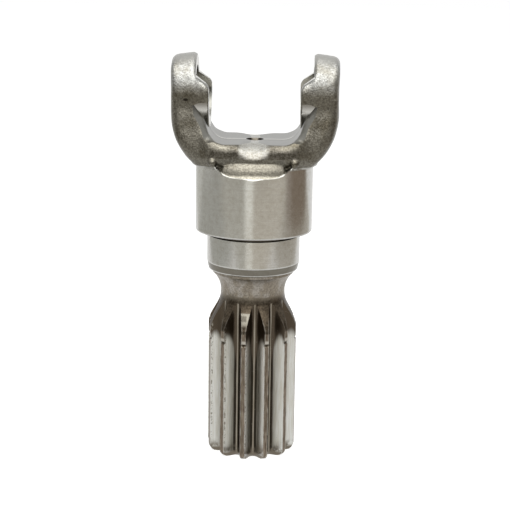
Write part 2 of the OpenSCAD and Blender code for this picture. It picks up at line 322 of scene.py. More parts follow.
# %% Turned steel
RING, MOTTLE = 0.35, 2.2            # distance of the rings and size of the mottle, millimetres
BAND_START, BAND_END = 86.0, 92.0   # heights between which the lead-in band is drawn
turned, tree, shader = steel("turned steel", "#BDBCB8", 0.17)
shader.inputs["Anisotropic"].default_value = 0.5
lay = node(tree, "Tangent", direction_type="RADIAL", axis="Z")
tree.links.new(lay[0], shader.inputs["Tangent"])
spot, x, y, z = place(tree)
flat = node(tree, "VectorMath", {0: spot, 1: (0.02, 0.02, 1.0)}, operation="MULTIPLY")[0]
rings = node(tree, "TexNoise", {"Vector": flat, "Scale": 1 / RING, "Detail": 2.0,
                                "Roughness": 0.6})[0]
mottle = node(tree, "TexNoise", {"Vector": spot, "Scale": 1 / MOTTLE, "Detail": 4.0,
                                 "Roughness": 0.7})[0]
up_band = node(tree, "MapRange", {"Value": z, "From Min": BAND_START, "From Max": BAND_END})[0]
# The foot and the lead-in band are painted darker, a painted shade, between two fine edges left at
# full brightness.
lead_in_shade = node(tree, "ValToRGB", {0: up_band}, [
    (0.0, "#6E6A62"), (0.19, "#6E6A62"), (0.2, "#FFFFFF"), (0.26, "#FFFFFF"),
    (0.28, "#9A968D"), (0.74, "#9E9A91"), (0.76, "#FFFFFF"), (1.0, "#FFFFFF")])[0]
# Painted shade darkens the groove under the large journal's shoulder.
shoulder_shade = zone(tree, (z, 102.9, 103.1), (z, 105.35, 105.2))
tone = coats(tree, "#B9B8B4", (rings, "#C8C7C3"),
             (zone(tree, (mottle, 0.35, 0.7)), "#F2F0ED", "MULTIPLY"),
             (1.0, lead_in_shade, "MULTIPLY"), (shoulder_shade, "#4A453D"))
dress(tree, shader, tone, rings, 0.1, 0.05)
print("finish:", turned.name, "with", len(tree.nodes), "nodes")

# %% [markdown]
# ### Hobbed teeth
# A hob leaves smooth pale sides. Oil stays on the upper ends, where nothing rubs. The round
# bottom of each gap is painted as a light middle strip, a painted reflection, between near-black
# bands of painted shade. So the colour follows the arc from the nearest gap's middle, which
# holds for all twelve teeth at once and needs no unwrapping.

# %% Place on a tooth
def tooth_place(tree, x, y):
    """Gives the arc from the middle of the nearest gap and the distance from the axis, in mm."""
    per_turn = TEETH / (2 * math.pi)
    first = 0.5 - (TOOTH_TURN - math.pi / 2) * per_turn
    angle = node(tree, "Math", {0: y, 1: x}, operation="ARCTAN2")[0]
    share = node(tree, "Math", {0: angle, 1: per_turn, 2: first}, operation="MULTIPLY_ADD")[0]
    share = node(tree, "Math", {0: share}, operation="FRACT")[0]
    share = node(tree, "Math", {0: share, 1: 0.5}, operation="SUBTRACT")[0]
    share = node(tree, "Math", {0: share}, operation="ABSOLUTE")[0]
    turn = node(tree, "Math", {0: share, 1: 1 / per_turn}, operation="MULTIPLY")[0]
    radius = from_axis(tree, x, y)
    return node(tree, "Math", {0: turn, 1: radius}, operation="MULTIPLY")[0], radius


print("a gap and its land take", round(2 * math.pi * TIP_R / TEETH, 2), "mm round the tips")

# %% Flanks: from the gap's painted shade to the pale side
DIRT_WANDER, STREAK = 6.0, 0.5      # size of the dirt's bends, width of the streaks, millimetres
SIDE_ARC = 5.0                      # arc from a gap's middle to the end of the ramp
flank, tree, shader = steel("hobbed flank", "#BDBDB6", 0.3)
spot, x, y, z = place(tree)
across = node(tree, "Math", {0: x}, operation="ABSOLUTE")[0]
arc = tooth_place(tree, x, y)[0]
along = node(tree, "VectorMath", {0: spot, 1: (1, 1, 0.25)}, operation="MULTIPLY")[0]
wander = node(tree, "TexNoise", {"Vector": along, "Scale": 1 / DIRT_WANDER, "Detail": 3.0,
                                 "Roughness": 0.6})[0]
sway = node(tree, "Math", {0: wander, 1: 0.7, 2: -0.35}, operation="MULTIPLY_ADD")[0]
near = node(tree, "Math", {0: arc, 1: sway}, operation="ADD")[0]
share = node(tree, "MapRange", {"Value": near, "From Min": 0.0, "From Max": SIDE_ARC})[0]
# Each gap's middle is a light strip, a painted reflection, and the near-black bands beside it are
# painted shade.
sides = node(tree, "ValToRGB", {0: share}, [
    (0.0, "#A09A8E"), (0.06, "#8A8276"), (0.095, "#2A251E"), (0.26, "#2F2A23"),
    (0.33, "#827F77"), (0.43, "#BDBCB6"), (0.6, "#D3D3CE")])[0]
# The sides of the front teeth are painted white, a painted highlight.
front_flank_highlight = zone(tree, (across, 9.5, 7.5), (near, 1.8, 3.6))
thin = node(tree, "VectorMath", {0: spot, 1: (1, 1, 0.05)}, operation="MULTIPLY")[0]
streaks = node(tree, "TexNoise", {"Vector": thin, "Scale": 1 / STREAK, "Detail": 2.0,
                                  "Roughness": 0.6})[0]
sides = coats(tree, sides, (front_flank_highlight, "#FFFFFF"),
              (zone(tree, (streaks, 0.65, 0.35)), "#EFECE6", "MULTIPLY"))
print("the sides are pale from", 0.43 * SIDE_ARC, "mm off the gap's middle")

# %% Flanks: oil at the upper ends
# The dark oil ends in an arch on each side: it reaches down furthest in the gap and on the edge.
off_middle = node(tree, "Math", {0: near, 1: 3.2}, operation="SUBTRACT")[0]
arch = node(tree, "Math", {0: off_middle, 1: off_middle}, operation="MULTIPLY")[0]
level = node(tree, "Math", {0: wander, 1: 6.0, 2: z}, operation="MULTIPLY_ADD")[0]
level = node(tree, "Math", {0: arch, 1: 1.6, 2: level}, operation="MULTIPLY_ADD")[0]
oiled = zone(tree, (level, 57.5, 62.5), (near, 0.3, 0.55))
print("oil covers the sides from about 59 mm up")

# %% Flanks: specks, a row of nicks, dusty smudges and a foot darker towards the bottom
ROW_ARC = 4.0                       # arc from the gap's middle to the row of nicks
SPOTS = [(0.45, 2.0, 0.8), (1.1, 2.0, 0.6), (2.5, 3.0, 0.6)]       # size in mm, detail, roughness
speck, chips, dust = [
    node(tree, "TexNoise", {"Vector": spot, "Scale": 1 / size, "Detail": detail,
                            "Roughness": rough})[0] for size, detail, rough in SPOTS]
from_row = node(tree, "Math", {0: arc, 1: ROW_ARC}, operation="SUBTRACT")[0]
from_row = node(tree, "Math", {0: from_row}, operation="ABSOLUTE")[0]
nicks = zone(tree, (from_row, 0.3, 0.12), (chips, 0.52, 0.6), (x, 1.0, -1.0))
marks = node(tree, "Math", {0: zone(tree, (speck, 0.68, 0.72)), 1: nicks}, operation="MAXIMUM")[0]
dusty = zone(tree, (z, 6.5, 2.0), (dust, 0.4, 0.6))
foot = node(tree, "Math", {0: dusty, 1: zone(tree, (z, 3.4, 1.4))}, operation="MAXIMUM")[0]
tone = coats(tree, sides, (oiled, "#50473C"), (marks, "#8A857B"), (foot, "#6E665A"))
dress(tree, shader, tone, streaks, 0.15, 0.05)
print("finish:", flank.name, "with", len(tree.nodes), "nodes")

# %% [markdown]
# ### Crest lands, cone and waist
# The lands between the gaps and the cone above them are only turned. Oil dried on them, brown
# on the lands and nearly black on the cone, and handling scuffed their sharp edges lighter.
# The waist is rougher and drier, with only faint stains of oil.

# %% Crest lands
RUB, BREAK = 0.9, 1.5               # width of the rub marks, size of the breaks in the edge
crest, tree, shader = steel("crest land", "#6B6256", 0.34)
spot, x, y, z = place(tree)
arc = tooth_place(tree, x, y)[0]
along = node(tree, "VectorMath", {0: spot, 1: (1, 1, 0.15)}, operation="MULTIPLY")[0]
rub = node(tree, "TexNoise", {"Vector": along, "Scale": 1 / RUB, "Detail": 4.0,
                              "Roughness": 0.75})[0]
along = node(tree, "VectorMath", {0: spot, 1: (1, 1, 0.3)}, operation="MULTIPLY")[0]
breaks = node(tree, "TexNoise", {"Vector": along, "Scale": 1 / BREAK, "Detail": 3.0,
                                 "Roughness": 0.6})[0]
# A painted highlight lightens the lands just above the groove.
above_groove_highlight = zone(tree, (z, 55.6, 56.0), (z, 57.6, 56.6))
scuffed = zone(tree, (arc, 4.75, 4.5), (breaks, 0.4, 0.55))
tone = coats(tree, "#5C5145", (zone(tree, (rub, 0.35, 0.7)), "#8A7E70"),
             (above_groove_highlight, "#B4AFA5"), (scuffed, "#A29D93"))
dress(tree, shader, tone, rub, 0.25, 0.08)
print("finish:", crest.name, "with", len(tree.nodes), "nodes")

# %% Oiled cone
cone, tree, shader = steel("oiled cone", "#332C23", 0.33)
spot, x, y, z = place(tree)
arc, radius = tooth_place(tree, x, y)
grain = node(tree, "TexNoise", {"Vector": spot, "Scale": 1 / RUB, "Detail": 4.0,
                                "Roughness": 0.7})[0]
lip_arc = node(tree, "Math", {0: radius, 1: 0.78, 2: -11.3}, operation="MULTIPLY_ADD")[0]
from_lip = node(tree, "Math", {0: arc, 1: lip_arc}, operation="SUBTRACT")[0]
from_lip = node(tree, "Math", {0: from_lip}, operation="ABSOLUTE")[0]
# A painted highlight draws the lip of each gap as a light line.
lip = zone(tree, (from_lip, 0.4, 0.15), (z, 74.0, 72.0))
blur = node(tree, "Math", {0: grain, 1: 3.0, 2: z}, operation="MULTIPLY_ADD")[0]
drained = zone(tree, (blur, 74.0, 78.5))
print("the lip of each gap is a line about 0.5 mm wide")

# %% Oiled cone: the painted highlight on one land
# One land at the front carries a painted highlight with a darker centre. Its sides spread upwards,
# 0.12 mm for each millimetre.
off = node(tree, "Math", {0: x, 1: 3.5}, operation="ADD")[0]
off = node(tree, "Math", {0: off}, operation="ABSOLUTE")[0]
spread = node(tree, "Math", {0: z, 1: -0.12, 2: 62.7 * 0.12}, operation="MULTIPLY_ADD")[0]
width = node(tree, "Math", {0: off, 1: spread}, operation="ADD")[0]
facet_highlight = zone(tree, (width, 2.4, 1.8), (y, 0.0, -1.0), (z, 62.9, 65.2), (z, 69.4, 68.9))
facet_highlight_centre = zone(tree, (off, 1.6, 0.9), (z, 65.4, 66.2), (z, 68.5, 67.8))
facet_highlight_tone = coats(tree, "#79756B", (facet_highlight_centre, "#545048"))
tone = coats(tree, "#352E25", (zone(tree, (grain, 0.3, 0.7)), "#554C40"), (lip, "#69635A"),
             (facet_highlight, facet_highlight_tone), (drained, "#857D70"))
dress(tree, shader, tone, grain, 0.4, 0.15)
print("finish:", cone.name, "with", len(tree.nodes), "nodes")

# %% Rough turned waist
STAIN = 5.0                         # size of the stains in millimetres
waist, tree, shader = steel("rough turned waist", "#7E776B", 0.36)
spot = place(tree)[0]
grain = node(tree, "TexNoise", {"Vector": spot, "Scale": 1 / GRAIN, "Detail": 4.0,
                                "Roughness": 0.75})[0]
along = node(tree, "VectorMath", {0: spot, 1: (1, 1, 0.6)}, operation="MULTIPLY")[0]
stain = node(tree, "TexNoise", {"Vector": along, "Scale": 1 / STAIN, "Detail": 3.0,
                                "Roughness": 0.6})[0]
tone = coats(tree, "#7E7870", (zone(tree, (grain, 0.3, 0.7)), "#AAA49A"),
             (zone(tree, (stain, 0.58, 0.42)), "#E4DFD6", "MULTIPLY"))
dress(tree, shader, tone, grain, 0.45, 0.15)
print("finish:", waist.name, "with", len(tree.nodes), "nodes")

# %% Slots
FINISHES = [forged, milled, turned, flank, crest, cone, waist, faced, shaded_hole]
FORGED, MILLED, TURNED, FLANK, CREST, CONE, WAIST, FACED, HOLE = range(9)
print("finishes:", [m.name for m in FINISHES])

# %% [markdown]
# ## Solids and cuts
# All shapes are made in millimetres and scaled to metres at the end, because the exact
# boolean works best on numbers near one. Each tool carries the finish that it leaves behind,
# and the boolean hands it on to the faces that the tool cuts.

# %% Solid and cut
def solid(name, points, faces, finish=0):
    """Makes a closed mesh object in millimetres; finish is one slot or one for each face."""
    mesh = bpy.data.meshes.new(name)
    mesh.from_pydata([tuple(map(float, p)) for p in points], [],
                     [tuple(map(int, f)) for f in faces])
    for material in FINISHES:
        mesh.materials.append(material)
    slots = np.full(len(mesh.polygons), finish) if np.isscalar(finish) else np.array(finish)
    mesh.polygons.foreach_set("material_index", slots.astype(np.int32))
    work = bmesh.new()
    work.from_mesh(mesh)
    bmesh.ops.recalc_face_normals(work, faces=work.faces)
    work.to_mesh(mesh)
    work.free()
    piece = bpy.data.objects.new(name, mesh)
    scene.collection.objects.link(piece)
    return piece


def cut(body, tool, how="DIFFERENCE"):
    """Joins or cuts body with tool by an exact boolean, and removes the tool."""
    step = body.modifiers.new("cut", "BOOLEAN")
    step.operation, step.object, step.solver, step.material_mode = how, tool, "EXACT", "TRANSFER"
    result = bpy.data.meshes.new_from_object(
        body.evaluated_get(bpy.context.evaluated_depsgraph_get()))
    body.modifiers.clear()
    old, body.data = body.data, result
    bpy.data.meshes.remove(old)
    bpy.data.objects.remove(tool)
    return body


print("solid() makes a blank or a tool, and cut() uses it up")

# %% Prism and lathe
def prism(name, outline, stations, finish, widen=None):
    """Extrudes (x, z) points through stations along Y; widen(y, points) moves them outwards."""
    outline = np.array(outline, float)
    along = np.roll(outline, -1, 0) - np.roll(outline, 1, 0)
    normal = np.stack([along[:, 1], -along[:, 0]], 1)
    normal /= np.linalg.norm(normal, axis=1, keepdims=True)
    rows = []
    for y in stations:
        moved = outline + normal * np.reshape(widen(y, outline), (-1, 1)) if widen else outline
        rows.append(np.stack([moved[:, 0], np.full(len(moved), y), moved[:, 1]], 1))
    n, faces = len(outline), []
    for j in range(len(stations) - 1):
        for i in range(n):
            k = (i + 1) % n
            faces.append((j * n + i, j * n + k, (j + 1) * n + k, (j + 1) * n + i))
    faces += [tuple(range(n)), tuple(range((len(stations) - 1) * n, len(stations) * n))]
    return solid(name, np.concatenate(rows), faces, finish)


def lathe(name, path, columns=96, finish=0, axis="Z"):
    """Revolves a path of (radius, height) about an axis; a radius of 0 closes an end."""
    angles = np.arange(columns) * 2 * math.pi / columns
    points, rings = [], []
    for r, h in path:
        count = 1 if r == 0 else columns
        rings.append((len(points), count))
        for a in angles[:count]:
            p = (r * math.cos(a), r * math.sin(a), h)
            points.append(p if axis == "Z" else (p[2], p[0], p[1]))
    faces = []
    for (a, na), (b, nb) in zip(rings, rings[1:]):
        for i in range(columns):
            k = (i + 1) % columns
            quad = [a + i % na, a + k % na, b + k % nb, b + i % nb]
            faces.append(tuple(dict.fromkeys(quad)))
    return solid(name, points, faces, finish)


print("prism() and lathe() make the straight and the round tools")

# %% [markdown]
# ## The forging
# A die rounds every edge and lets one form flow into the next. Bevelled solids would need a
# fillet drawn at each meeting, so the blank is a distance field instead: each form is a formula,
# negative inside, and a soft minimum joins them. The surface where the field is zero then
# becomes a mesh of small quads.

# %% Soft joins
def blend_in(a, b, k):
    """Soft minimum: joins two forms with a fillet of about k millimetres."""
    h = np.maximum(k - np.abs(a - b), 0) / k
    return np.minimum(a, b) - h * h * k / 4


def blend_cut(a, b, k):
    """Soft maximum: keeps what both forms share, with edges rounded by about k millimetres."""
    return -blend_in(-a, -b, k)


def curve_in(past, below, bend):
    """Curves a flat face inwards from where below is 0; past is the distance in front of it."""
    return np.where(below > 0, np.hypot(np.maximum(past + bend, 0), below) - bend, past)


print("a fillet of 2 mm lowers the meeting of two equal forms by", 2 / 4, "mm")

# %% Skin noise
def lattice_noise(x, y, z, size, seed):
    """Smooth seeded noise between -1 and 1 with lumps of the given size in millimetres."""
    shape = [int(math.ceil((v.max() - v.min()) / size)) + 3 for v in (x, y, z)]
    table = np.random.default_rng(seed).uniform(-1, 1, shape)
    cells, parts = [], []
    for v in (x, y, z):
        u = (v - v.min()) / size
        cell = np.floor(u).astype(int)
        cells.append(cell)
        f = u - cell
        parts.append(f * f * (3 - 2 * f))
    total = 0
    for i in (0, 1):
        for j in (0, 1):
            for k in (0, 1):
                weight = 1
                for part, side in zip(parts, (i, j, k)):
                    weight = weight * (part if side else 1 - part)
                total = total + weight * table[cells[0] + i, cells[1] + j, cells[2] + k]
    return total


sample = lattice_noise(*np.meshgrid(*[np.arange(0.0, 30.0, 3.0)] * 3), 6.0, 11)
print("noise between", *(round(float(v), 2) for v in (sample.min(), sample.max())))

# %% [markdown]
# ### Arms, eyes and bosses
# Seen from the front the outer faces are flat down to the eyes and then curve in under them.
# Seen from the side each arm is as deep as the tables say, read from the picture's shading,
# and a round eye tops it. A boss stands inwards from the eye, below a slope.

# %% Tables and form of the arms
SIDE_Z = [126, 134.0, 136.0, 138.0, 140.2, 143.5, 148.7, 153.3, 159.0, 162.5, 166.5, 190]
INNER_DEPTH = [17.8, 18.2, 19.2, 21.0, 22.2, 22.2, 21.7, 19.6, 17.7, 16.8, 16.4, 15.8]
OUTER_DEPTH = [17.8, 18.0, 18.4, 19.0, 19.5, 19.6, 18.9, 18.2, 17.4, 16.8, 16.4, 15.8]
DRAFT = 0.13                        # the die's draft on the eyes, millimetres for each millimetre
ARM_FOOT_Z = 133.2


def arms_form(ax, ay, r, reach, z):
    """Both arms with their eyes: ax, ay are distances from the middle, reach from the bore."""
    front = curve_in(ax - FACE_OUT, BORE_Z - 8.7 - z, ARM_ROUND)
    plan = curve_in(r - FACE_OUT - 2, BORE_Z - 11.2 - z, ARM_ROUND - 2.8)
    outer = blend_cut(front, plan, 2.5)
    outward = np.interp(ax, [17.0, 20.0, 24.0, 27.0], [0, 0.15, 0.85, 1])
    depth = np.interp(z, SIDE_Z, INNER_DEPTH) * (1 - outward)
    depth = depth + np.interp(z, SIDE_Z, OUTER_DEPTH) * outward
    taper = DRAFT * np.maximum(ax - 27.5, 0)
    depth = depth - taper * np.interp(z, [150, 163], [0, 1])
    arms = blend_in(np.maximum(ay - depth, z - BORE_Z), reach - (EYE_R + 0.1 - taper), 1.5)
    edge = np.where(z > 166, np.interp(ay, [5, 10], [3.4, 2.0]), 3.4)
    return blend_cut(blend_cut(arms, outer, edge), ARM_FOOT_Z - z, 2.0)


print("arms up to", 2 * max(INNER_DEPTH), "mm deep")

# %% The gap that the die leaves, and the bosses
def gap_distance(x, z):
    """Distance to the milled gap between the arms, negative inside it."""
    px, pz = np.abs(x) - CORNER_X, z - (FLOOR_Z + CORNER_R)
    side = px * math.cos(LEAN) - pz * math.sin(LEAN) - CORNER_R
    level = -pz - CORNER_R
    in_corner = (px > 0) & (pz < 0) & (pz * math.cos(LEAN) < -px * math.sin(LEAN))
    return np.where(in_corner, np.hypot(px, pz) - CORNER_R, np.maximum(side, level))


def fork_form(arms, ax, reach, x, z):
    """Opens the gap 0.5 mm short of the mill's depth, and adds the bosses under their slopes."""
    gap = np.maximum(gap_distance(x, z), ax - 26.1)
    fork = blend_cut(arms, -(gap + 0.5), np.interp(z, [160, 170], [4.6, 2.6]))
    slope = (26.0 - ax) * 0.568 + (z - 175.45) * 0.823
    boss = blend_cut(blend_cut(reach - (EYE_R - 0.3), 19.95 - ax, 1.5), slope, 2.6)
    return blend_in(fork, np.maximum(boss, ax - 26.2), 1.8)


print("the gap is", 2 * CORNER_X, "mm wide between its corners")

# %% [markdown]
# ### Hub, raised bar and saddle
# Under the fork a core leads down to the stub that the lathe will turn, up to a U-shaped rim.
# A bar stands proud in that recess, front and back, with a small knob beside each end.
# Between the arms the floor rounds down to both sides in a hollow saddle.

# %% Hub with its raised bar
U_RIM_X = [0, 3, 6, 8.5, 10.5, 12, 13.2, 14.4, 15.7, 17.1, 18.6, 30]
U_RIM_Z = [132.0, 132.03, 132.1, 132.22, 132.45, 132.8, 133.3, 134.2, 135.7, 137.6, 139.0, 140]
BAR_BOW, BAR_X, BAR_TOP_Z = 10.3, 13.8, 138.9       # bow of the bar's face, half width and top
KNOB = (18.0, 21.4, 138.7)


def hub_form(fork, ax, ay, r, z):
    """Adds the core, the stub below the rim, the raised bars and the knobs."""
    core = blend_cut(r - 22.7, z - 141.8, 1.0)
    rim = np.interp(ax, U_RIM_X, U_RIM_Z) + np.clip(LARGE_R - r, 0, 3) * 0.8
    stub = blend_cut(r - 28.4, z - rim, 0.8)
    body = blend_in(blend_in(fork, core, 1.5), stub, 0.7)
    bow = np.hypot(ay + BAR_BOW, ax) - BAR_BOW
    bevel = (bow - 24.6) * 0.73 + (z - 136.3) * 0.68
    bar = blend_cut(ax - BAR_X, bow - 24.9 + (z - 134.5) * 0.2, 0.8)
    bar = blend_cut(blend_cut(bar, bevel, 0.8), z - BAR_TOP_Z, 0.8)
    body = blend_in(body, np.maximum(bar, 17 - ay), 0.5)
    knob = np.sqrt((ax - KNOB[0]) ** 2 + (ay - KNOB[1]) ** 2 + (z - KNOB[2]) ** 2) - 1.9
    return blend_in(body, knob, 0.8)


print("the bar is", 2 * BAR_X, "mm wide")

# %% Saddle, and the whole field
CROWN_R = 17.0                      # how the floor rounds down to the front and the back
FRONT_HOLLOW, BACK_HOLLOW = 9.2, 16.0


def saddle_cut(body, x, y, z):
    """Cuts the saddle: hollow along X, rounding down to the front and the back."""
    ay = np.abs(y)
    start = np.where(y < 0, 10.0, 12.5)
    crown_z = FLOOR_Z + 0.15 - CROWN_R
    arch = np.where(ay > start, np.hypot(ay - start, z - crown_z), z - crown_z)
    hollow = np.where(y < 0, FRONT_HOLLOW, BACK_HOLLOW)
    return blend_cut(body, hollow - np.hypot(arch - CROWN_R - hollow, x), 1.6)


def forging(x, y, z):
    """The whole blank, with a skin that wanders by about a tenth of a millimetre."""
    ax, ay, r = np.abs(x), np.abs(y), np.hypot(x, y)
    reach = np.hypot(y, z - BORE_Z)
    fork = fork_form(arms_form(ax, ay, r, reach, z), ax, reach, x, z)
    body = saddle_cut(hub_form(fork, ax, ay, r, z), x, y, z)
    skin = 0.07 * lattice_noise(x, y, z, 6.0, 11) + 0.05 * lattice_noise(x, y, z, 2.4, 12)
    skin = skin * np.interp(z, [138, 141], [0.3, 1])
    return body + skin


print("the field's forms are ready")

# %% [markdown]
# ### From field to mesh
# Marching cubes would leave thin triangles. Surface nets place one point in each grid cell that
# the surface crosses, at the mean of its crossings, and join neighbours with quads.
# The grid lines stand closer where the forging has small forms.

# %% Surface nets
def net_points(field):
    """Places one point in each crossed cell, and numbers the cells that have one."""
    cells = np.array(field.shape) - 1
    total, count = np.zeros((*cells, 3)), np.zeros(cells)
    for axis in range(3):
        b, c = (axis + 1) % 3, (axis + 2) % 3
        for ob in (0, 1):
            for oc in (0, 1):
                start = [slice(0, cells[0]), slice(0, cells[1]), slice(0, cells[2])]
                start[b] = slice(ob, ob + cells[b])
                start[c] = slice(oc, oc + cells[c])
                end = list(start)
                end[axis] = slice(1, 1 + cells[axis])
                v0, v1 = field[tuple(start)], field[tuple(end)]
                crossed = (v0 < 0) != (v1 < 0)
                t = np.where(crossed, v0 / np.where(crossed, v0 - v1, 1), 0)
                total[..., axis] += np.where(crossed, t, 0)
                total[..., b] += np.where(crossed, ob, 0)
                total[..., c] += np.where(crossed, oc, 0)
                count += crossed
    live = count > 0
    index = np.full(cells, -1)
    index[live] = np.arange(live.sum())
    corner = np.stack(np.nonzero(live), 1)
    return corner + total[live] / count[live][:, None], index


def surface_nets(field):
    """Makes a quad mesh, in grid steps, on the zero surface of a sampled field."""
    points, index = net_points(field)
    inside, faces = field < 0, []
    for axis in range(3):
        b, c = (axis + 1) % 3, (axis + 2) % 3
        here, there = [slice(1, -1)] * 3, [slice(1, -1)] * 3
        here[axis], there[axis] = slice(0, -1), slice(1, None)
        s0, s1 = inside[tuple(here)], inside[tuple(there)]
        for flip in (False, True):
            at = np.stack(np.nonzero((s0 != s1) & (s0 == flip)), 1)
            at[:, b] += 1
            at[:, c] += 1
            corners = []
            for db, dc in ((-1, -1), (0, -1), (0, 0), (-1, 0)):
                spot = at.copy()
                spot[:, b] += db
                spot[:, c] += dc
                corners.append(index[spot[:, 0], spot[:, 1], spot[:, 2]])
            faces.append(np.stack(corners if flip else corners[::-1], 1))
    return points, np.concatenate(faces)


print("surface nets ready")

# %% Grid and blank
def spaced(*runs):
    """Grid lines from runs of (start, end, step), finer where the forging has small forms."""
    return np.concatenate([np.arange(start, end - step * 0.4, step) for start, end, step in runs])


COARSE = 1.0
axes = [spaced((-41, -20, 0.7 * COARSE), (-20, 20, 0.42 * COARSE), (20, 41.5, 0.7 * COARSE)),
        spaced((-29.8, -15, 0.45 * COARSE), (-15, 15, 0.8 * COARSE), (15, 30.2, 0.45 * COARSE)),
        spaced((128, 131, 0.75 * COARSE), (131, 140.6, 0.36 * COARSE), (140.6, 188, 0.7 * COARSE))]
grid = np.meshgrid(*axes, indexing="ij")
field = np.maximum(forging(*grid), axes[2][1] + 0.3 - grid[2])
points, faces = surface_nets(field)
points = np.stack([np.interp(points[:, i], np.arange(len(axes[i])), axes[i]) for i in range(3)], 1)
yoke = solid("forged_yoke_body", points, faces, FORGED)
print("blank:", len(points), "points,", len(faces), "quads")

# %% Weld on the bar stock of the shaft
STOCK_R, STOCK_TOP = 28.0, 130.5
stock = lathe("bar", [(0, -3), (STOCK_R, -3), (STOCK_R, STOCK_TOP), (0, STOCK_TOP)], 72, FORGED)
yoke = cut(yoke, stock, "UNION")
print("with the shaft's stock:", len(yoke.data.polygons), "faces")

# %% [markdown]
# ## Lathe and hob
# One tool stands for the lathe and the hob together: it fills all the space round the finished
# shaft. Twelve separate gap cutters could follow a plain lathe, but their thin crossings
# would leave ragged edges. The columns of this tool follow the edge where a tooth's side meets
# the turned outline, so the teeth run out on the cone in clean triangles.

# %% Outline of a tooth gap
SIDE_SLOPE = math.radians(30)
SLOPE = math.tan(SIDE_SLOPE)
LINE_HIT = GAP_ROUND * math.cos(SIDE_SLOPE)
LINE_Y = ROOT_R + GAP_ROUND - GAP_ROUND * math.sin(SIDE_SLOPE)


def gap_radius(angle):
    """Radius of the tooth gap's wall at an angle from the gap's middle."""
    centre = ROOT_R + GAP_ROUND
    if angle < math.atan2(LINE_HIT, LINE_Y):
        half_chord = math.sqrt(max(GAP_ROUND ** 2 - (centre * math.sin(angle)) ** 2, 0))
        return centre * math.cos(angle) - half_chord
    return (LINE_Y * SLOPE - LINE_HIT) / (SLOPE * math.cos(angle) - math.sin(angle))


def edge_angle(radius):
    """Angle at which the gap's wall reaches a radius, found by halving."""
    lo, hi = 0.0, math.radians(14.9)
    for _ in range(40):
        mid = (lo + hi) / 2
        lo, hi = (mid, hi) if gap_radius(mid) < radius else (lo, mid)
    return lo


print("a gap is", round(2 * TIP_R * math.sin(edge_angle(TIP_R)), 2), "mm wide at the tips")

# %% Path of the spline and the cone
# Rows are (radius, height, finish), from the centre hole in the end face upwards.
CHAMFER_R, CHAMFER_Z = 3.5, 3.9
GROOVE_Z, GROOVE_DEPTH = 55.0, 0.45
RUN_OUT = [(61.5, 20.44), (62.9, 19.92), (63.8, 19.66), (64.8, 19.2), (66.7, 18.2), (68.6, 17.1),
           (70.5, 16.05), (72.5, 15.2), (74.4, 14.78), (76.4, 14.65)]
path = [(0, 7.9, TURNED), (1.6, 6.9, TURNED), (1.6, 3.9, TURNED), (3.8, 0.0, TURNED),
        (13.0, 0.0, TURNED)]
path += [(TIP_R - CHAMFER_R + CHAMFER_R * math.sin(a), CHAMFER_Z - CHAMFER_Z * math.cos(a), CREST)
         for a in np.radians(np.linspace(0, 90, 9))]
path += [(TIP_R, z, CREST) for z in (12.0, 25.0, 40.0, 54.3)]
# The groove takes the dark cone finish, a painted shade.
path += [(TIP_R - GROOVE_DEPTH, GROOVE_Z - 0.3, CONE), (TIP_R - GROOVE_DEPTH, GROOVE_Z + 0.3, CONE),
         (TIP_R, 55.7, CONE), (TIP_R, 60.4, CREST)]
run_z, run_r = np.array(RUN_OUT).T
path += [(float(np.interp(z, run_z, run_r)), float(z), CONE) for z in np.arange(61.5, 76.5, 0.5)]
print("spline path:", len(path), "rows")

# %% Path of the waist and the journals
# A row close to each edge holds the shading, so that light doesn't smear over the long faces.
for z in np.arange(77.0, 86.0, 0.5):
    r = NECK_R + NECK_ROUND - math.sqrt(NECK_ROUND ** 2 - (z - WAIST_Z) ** 2)
    path.append((r, float(z), WAIST))
path += [(18.6, SMALL_Z, WAIST), (SMALL_R - 1.05, SMALL_Z, TURNED),
         (SMALL_R - 0.75, SMALL_Z + 0.3, TURNED), (SMALL_R, SMALL_Z + 3.8, TURNED),
         (SMALL_R, SMALL_Z + 4.1, TURNED), (SMALL_R, LARGE_Z - 2, TURNED),
         (SMALL_R - 0.8, LARGE_Z - 1.7, TURNED), (SMALL_R - 0.8, LARGE_Z, TURNED)]
path += [(LARGE_R - 0.6, LARGE_Z, TURNED), (LARGE_R - 0.15, LARGE_Z + 0.2, TURNED),
         (LARGE_R, LARGE_Z + 0.6, TURNED), (LARGE_R, LARGE_Z + 0.9, TURNED)]
path += [(LARGE_R, z, TURNED) for z in (112.0, 120.0, 128.0, SEAM_Z)]
path += [(62.0, SEAM_Z + 0.6, TURNED), (62.0, -8.0, TURNED), (0, -8.0, TURNED)]
print("whole path:", len(path), "rows")

